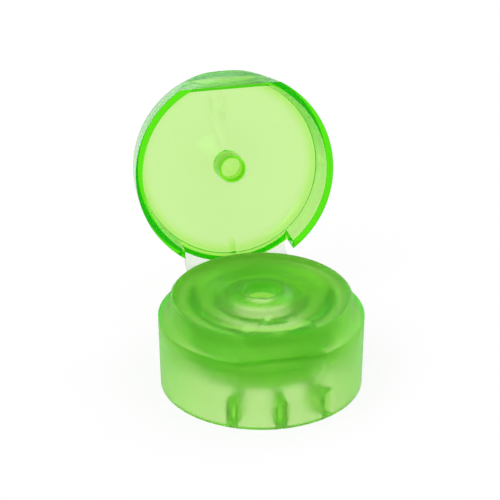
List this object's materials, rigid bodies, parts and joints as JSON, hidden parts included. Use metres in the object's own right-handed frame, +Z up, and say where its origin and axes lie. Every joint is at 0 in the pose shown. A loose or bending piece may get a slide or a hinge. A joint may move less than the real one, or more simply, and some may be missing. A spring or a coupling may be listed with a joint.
{
  "type": "flip top cap",
  "caption": "Flip top cap in translucent plastic: round skirt with thumb scoop, flatted deck with round orifice, and a hinged plug lid on a film strap, shown open.",
  "frame": {"origin": "on the axis of the neck, in the plane that the skirt stands on", "axes": "+Z up along the neck's axis, -Y towards the thumb scoop, +Y towards the hinge, X along the hinge line"},
  "size_m": [0.038, 0.0546, 0.0477],
  "materials": {
    "moulded_plastic": "translucent green polypropylene, gloss moulded",
    "lid_plastic": "translucent green polypropylene, gloss moulded",
    "strap_film": "thin near-clear hinge film"
  },
  "bodies": {
    "base": {"closure_base": "moulded_plastic", "hinge_strap": "strap_film"},
    "lid": {"lid": "lid_plastic"}
  },
  "joints": [
    {"name": "lid_hinge", "type": "hinge", "parent": "base", "child": "lid", "pos_m": [0, 0.0184, 0.01392], "axis": [-1, 0, 0], "range_deg": [-104.1, 55.9], "deforming": ["hinge_strap"]}
  ]
}
